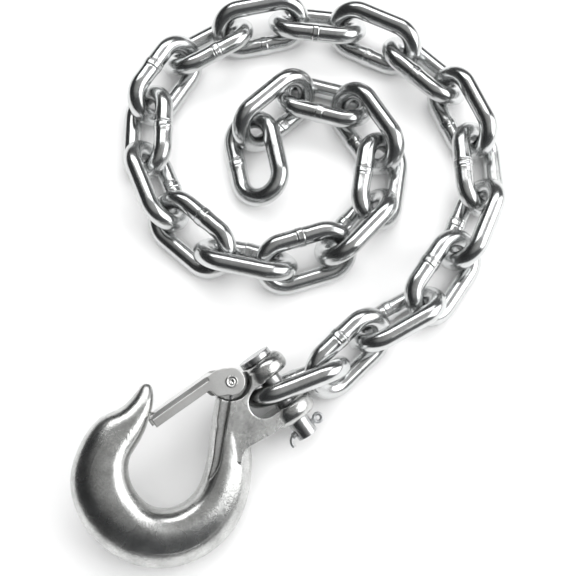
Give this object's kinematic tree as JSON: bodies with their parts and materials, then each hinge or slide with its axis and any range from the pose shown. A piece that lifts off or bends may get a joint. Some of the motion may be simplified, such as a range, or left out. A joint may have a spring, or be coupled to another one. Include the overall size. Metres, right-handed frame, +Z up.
{
  "type": "safety chain hook",
  "caption": "Length of welded safety chain laid in a spiral, ending in a forged clevis slip hook with a spring-loaded latch.",
  "frame": {"origin": "middle of the footprint on the floor that the chain and hook lie on", "axes": "+Z up from the floor, +Y along the longest extent, away from the hook toward the far side of the spiral, +X to the right of the spiral seen from the hook"},
  "size_m": [0.2243, 0.3197, 0.0445],
  "materials": {
    "hook_forging": "bright zinc plate over a forging, slightly grainy",
    "pin_steel": "bright zinc plate",
    "cotter_wire": "bright zinc plate",
    "latch_sheet": "bright zinc plate, smooth",
    "rivet_steel": "bright zinc plate, smooth",
    "spring_wire": "spring steel wire",
    "chain_wire": "bright zinc plate, glossy"
  },
  "bodies": {
    "hook": {"hook_body": "hook_forging", "latch_spring": "spring_wire"},
    "gate": {"latch": "latch_sheet", "latch_rivet": "rivet_steel"},
    "pin": {"clevis_pin": "pin_steel", "cotter_pin": "cotter_wire"},
    "chain_link_01": {"link_01": "chain_wire"},
    "chain_link_02": {"link_02": "chain_wire"},
    "chain_link_03": {"link_03": "chain_wire"},
    "chain_link_04": {"link_04": "chain_wire"},
    "chain_link_05": {"link_05": "chain_wire"},
    "chain_link_06": {"link_06": "chain_wire"},
    "chain_link_07": {"link_07": "chain_wire"},
    "chain_link_08": {"link_08": "chain_wire"},
    "chain_link_09": {"link_09": "chain_wire"},
    "chain_link_10": {"link_10": "chain_wire"},
    "chain_link_11": {"link_11": "chain_wire"},
    "chain_link_12": {"link_12": "chain_wire"},
    "chain_link_13": {"link_13": "chain_wire"},
    "chain_link_14": {"link_14": "chain_wire"},
    "chain_link_15": {"link_15": "chain_wire"},
    "chain_link_16": {"link_16": "chain_wire"},
    "chain_link_17": {"link_17": "chain_wire"},
    "chain_link_18": {"link_18": "chain_wire"},
    "chain_link_19": {"link_19": "chain_wire"},
    "chain_link_20": {"link_20": "chain_wire"},
    "chain_link_21": {"link_21": "chain_wire"},
    "chain_link_22": {"link_22": "chain_wire"},
    "chain_link_23": {"link_23": "chain_wire"},
    "chain_link_24": {"link_24": "chain_wire"}
  },
  "joints": [
    {"name": "latch_hinge", "type": "hinge", "parent": "hook", "child": "gate", "pos_m": [-0.03654, -0.06917, 0.02744], "axis": [0.2473, -0.2413, 0.9384], "range_deg": [0, 32], "stiffness_Nm_per_rad": 0.12, "springref_deg": -20.05, "deforming": ["latch_spring"]},
    {"name": "clevis_pin_turn", "type": "hinge", "parent": "hook", "child": "pin", "pos_m": [-0.0122, -0.0716, 0.0204], "axis": [0.5655, -0.7505, -0.342], "continuous": true},
    {"name": "link_24_on_clevis_pin", "type": "hinge", "parent": "hook", "child": "chain_link_24", "pos_m": [-0.0122, -0.0716, 0.0204], "axis": [0.5655, -0.7505, -0.342], "range_deg": [-15, 25]},
    {"name": "link_23_in_link_24", "type": "hinge", "parent": "chain_link_24", "child": "chain_link_23", "pos_m": [0.01843, -0.05726, 0.01438], "axis": [0.5501, -0.5642, 0.6157], "range_deg": [-10, 25]},
    {"name": "link_22_in_link_23", "type": "hinge", "parent": "chain_link_23", "child": "chain_link_22", "pos_m": [0.04212, -0.0355, 0.01316], "axis": [-0.3732, 0.6427, 0.6691], "range_deg": [-30, 30]},
    {"name": "link_21_in_link_22", "type": "hinge", "parent": "chain_link_22", "child": "chain_link_21", "pos_m": [0.06911, -0.01891, 0.0123], "axis": [0.5222, -0.3512, 0.7771], "range_deg": [-30, 30]},
    {"name": "link_20_in_link_21", "type": "hinge", "parent": "chain_link_21", "child": "chain_link_20", "pos_m": [0.0869, 0.01151, 0.0141], "axis": [0.7249, -0.309, -0.6157], "range_deg": [-29, 30]},
    {"name": "link_19_in_link_20", "type": "hinge", "parent": "chain_link_20", "child": "chain_link_19", "pos_m": [0.09863, 0.0429, 0.01214], "axis": [0.6287, 0.0269, 0.7771], "range_deg": [-30, 19]},
    {"name": "link_18_in_link_19", "type": "hinge", "parent": "chain_link_19", "child": "chain_link_18", "pos_m": [0.09417, 0.07663, 0.01459], "axis": [-0.7219, -0.3159, 0.6157], "range_deg": [-30, 19]},
    {"name": "link_17_in_link_18", "type": "hinge", "parent": "chain_link_18", "child": "chain_link_17", "pos_m": [0.07883, 0.10749, 0.01247], "axis": [-0.4358, -0.454, -0.7771], "range_deg": [-16, 30]},
    {"name": "link_16_in_link_17", "type": "hinge", "parent": "chain_link_17", "child": "chain_link_16", "pos_m": [0.05223, 0.12964, 0.01446], "axis": [0.3432, 0.7093, -0.6157], "range_deg": [-20, 30]},
    {"name": "link_15_in_link_16", "type": "hinge", "parent": "chain_link_16", "child": "chain_link_15", "pos_m": [0.0209, 0.14317, 0.01263], "axis": [0.0757, 0.6247, 0.7771], "range_deg": [-30, 18]},
    {"name": "link_14_in_link_15", "type": "hinge", "parent": "chain_link_15", "child": "chain_link_14", "pos_m": [-0.01265, 0.14468, 0.01466], "axis": [-0.1684, 0.7698, -0.6157], "range_deg": [-21, 30]},
    {"name": "link_13_in_link_14", "type": "hinge", "parent": "chain_link_14", "child": "chain_link_13", "pos_m": [-0.04405, 0.13607, 0.01247], "axis": [0.3266, -0.5379, -0.7771], "range_deg": [-15, 30]},
    {"name": "link_12_in_link_13", "type": "hinge", "parent": "chain_link_13", "child": "chain_link_12", "pos_m": [-0.07012, 0.1167, 0.01495], "axis": [0.6695, -0.4156, 0.6157], "range_deg": [-30, 16]},
    {"name": "link_11_in_link_12", "type": "hinge", "parent": "chain_link_12", "child": "chain_link_11", "pos_m": [-0.08529, 0.08744, 0.01174], "axis": [0.6293, 0, -0.7771], "range_deg": [-12, 30]},
    {"name": "link_10_in_link_11", "type": "hinge", "parent": "chain_link_11", "child": "chain_link_10", "pos_m": [-0.0816, 0.05362, 0.01475], "axis": [0.7301, 0.2966, 0.6157], "range_deg": [-30, 18]},
    {"name": "link_09_in_link_10", "type": "hinge", "parent": "chain_link_10", "child": "chain_link_09", "pos_m": [-0.06715, 0.02315, 0.01226], "axis": [-0.417, -0.4714, 0.7771], "range_deg": [-30, 18]},
    {"name": "link_08_in_link_09", "type": "hinge", "parent": "chain_link_09", "child": "chain_link_08", "pos_m": [-0.03928, 0.00312, 0.01504], "axis": [-0.1684, -0.7698, -0.6157], "range_deg": [-30, 30]},
    {"name": "link_07_in_link_08", "type": "hinge", "parent": "chain_link_08", "child": "chain_link_07", "pos_m": [-0.00662, -0.00151, 0.01187], "axis": [-0.1877, 0.6007, -0.7771], "range_deg": [-27, 30]},
    {"name": "link_06_in_link_07", "type": "hinge", "parent": "chain_link_07", "child": "chain_link_06", "pos_m": [0.02336, 0.01217, 0.01523], "axis": [0.5809, -0.5325, -0.6157], "range_deg": [-26, 30]},
    {"name": "link_05_in_link_06", "type": "hinge", "parent": "chain_link_06", "child": "chain_link_05", "pos_m": [0.04302, 0.03775, 0.01163], "axis": [-0.6218, 0.0972, -0.7771], "range_deg": [-23, 30]},
    {"name": "link_04_in_link_05", "type": "hinge", "parent": "chain_link_05", "child": "chain_link_04", "pos_m": [0.04265, 0.06981, 0.01597], "axis": [-0.6695, -0.4156, 0.6157], "range_deg": [-30, 28]},
    {"name": "link_03_in_link_04", "type": "hinge", "parent": "chain_link_04", "child": "chain_link_03", "pos_m": [0.02234, 0.0947, 0.01064], "axis": [-0.133, -0.482, -0.866], "range_deg": [-30, 30]},
    {"name": "link_02_in_link_03", "type": "hinge", "parent": "chain_link_03", "child": "chain_link_02", "pos_m": [-0.00749, 0.09422, 0.01548], "axis": [0.5874, -0.6364, 0.5], "range_deg": [-30, 30]},
    {"name": "link_01_in_link_02", "type": "hinge", "parent": "chain_link_02", "child": "chain_link_01", "pos_m": [-0.0276, 0.07153, 0.01024], "axis": [-0.4446, -0.092, 0.891], "range_deg": [-30, 30]}
  ]
}
